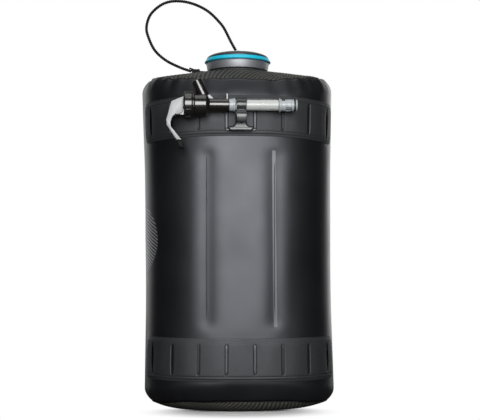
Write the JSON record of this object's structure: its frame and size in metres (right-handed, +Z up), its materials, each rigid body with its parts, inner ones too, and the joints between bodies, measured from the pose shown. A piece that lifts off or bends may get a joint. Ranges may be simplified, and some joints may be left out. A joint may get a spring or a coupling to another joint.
{
  "type": "collapsible water carrier",
  "caption": "Soft oblong water carrier with a tethered screw cap, slit bands round its body, and a lever tap on a short hose parked in a hook clip.",
  "frame": {"origin": "centre of the flat foot, on the surface that the carrier stands on", "axes": "+Z up; -Y to the front, where the tap is; +X to the right as seen from the front"},
  "size_m": [0.1964, 0.173, 0.4254],
  "materials": {
    "bag_film": "satin coated film",
    "ribbed_film": "ribbed coated fabric",
    "band_film": "satin coated film",
    "black_plastic": "glossy moulded",
    "cap_grey": "satin metallic",
    "cap_cover_dark": "satin metallic",
    "cap_blue": "satin moulded",
    "black_rubber": "matte",
    "grey_plastic": "satin moulded",
    "clear_hose": "clear soft tube",
    "clip_plastic": "satin moulded",
    "steel": "bright"
  },
  "bodies": {
    "base": {"bottom_panel": "ribbed_film", "side_wall": "bag_film", "lower_front_band": "band_film", "lower_rear_band": "band_film", "left_baffle": "bag_film", "right_baffle": "bag_film"},
    "top": {"top_panel": "ribbed_film", "neck": "black_plastic", "upper_front_band": "band_film", "upper_rear_band": "band_film", "tether_ring": "black_plastic", "tether_ferrule": "black_plastic", "tube_clip": "clip_plastic"},
    "cap_swivel": {"tether_swivel": "black_plastic", "tether": "black_rubber"},
    "cap": {"cap_shell": "cap_grey", "cap_ring": "cap_blue", "cap_cover": "cap_cover_dark", "cap_gasket": "black_rubber"},
    "hose": {"hose": "clear_hose", "plug": "grey_plastic", "plug_o_ring": "black_rubber", "end_connector": "grey_plastic", "end_o_ring": "black_rubber"},
    "tap": {"tap_body": "black_plastic", "tap_collar": "black_plastic", "lever_pin": "steel"},
    "lever": {"lever": "grey_plastic", "lever_tip": "black_rubber"},
    "stem": {"valve_stem": "grey_plastic", "valve_seal": "black_rubber", "valve_spring": "steel"},
    "latch": {"latch_plate": "steel"}
  },
  "joints": [
    {"name": "collapse", "type": "slide", "parent": "base", "child": "top", "axis": [0, 0, 1], "range_m": [-0.12, 0], "deforming": ["side_wall", "left_baffle", "right_baffle"]},
    {"name": "cap_lift", "type": "slide", "parent": "top", "child": "cap_swivel", "axis": [0, 0, 1], "range_m": [0, 0.06]},
    {"name": "cap_turn", "type": "hinge", "parent": "cap_swivel", "child": "cap", "pos_m": [0, 0, 0.36], "axis": [0, 0, 1], "range_deg": [0, 540]},
    {"name": "hose_slide", "type": "slide", "parent": "top", "child": "hose", "axis": [1, 0, 0], "range_m": [-0.028, 0]},
    {"name": "tap_swivel", "type": "hinge", "parent": "hose", "child": "tap", "pos_m": [-0.02, -0.08507, 0.3036], "axis": [1, 0, 0], "range_deg": [-20, 15]},
    {"name": "lever_press", "type": "hinge", "parent": "tap", "child": "lever", "pos_m": [-0.0589, -0.08507, 0.2965], "axis": [0, -1, 0], "range_deg": [0, 20], "stiffness_Nm_per_rad": 0.12, "springref_deg": -11.46},
    {"name": "valve_pull", "type": "slide", "parent": "tap", "child": "stem", "axis": [-1, 0, 0], "range_m": [0, 0.0035]},
    {"name": "latch_press", "type": "slide", "parent": "tap", "child": "latch", "axis": [0, 0, -1], "range_m": [0, 0.0012], "stiffness_N_per_m": 400, "springref_m": -0.001}
  ],
  "couplings": [
    {"joint": "valve_pull", "follows": "lever_press", "m_per_rad": 0.01}
  ]
}
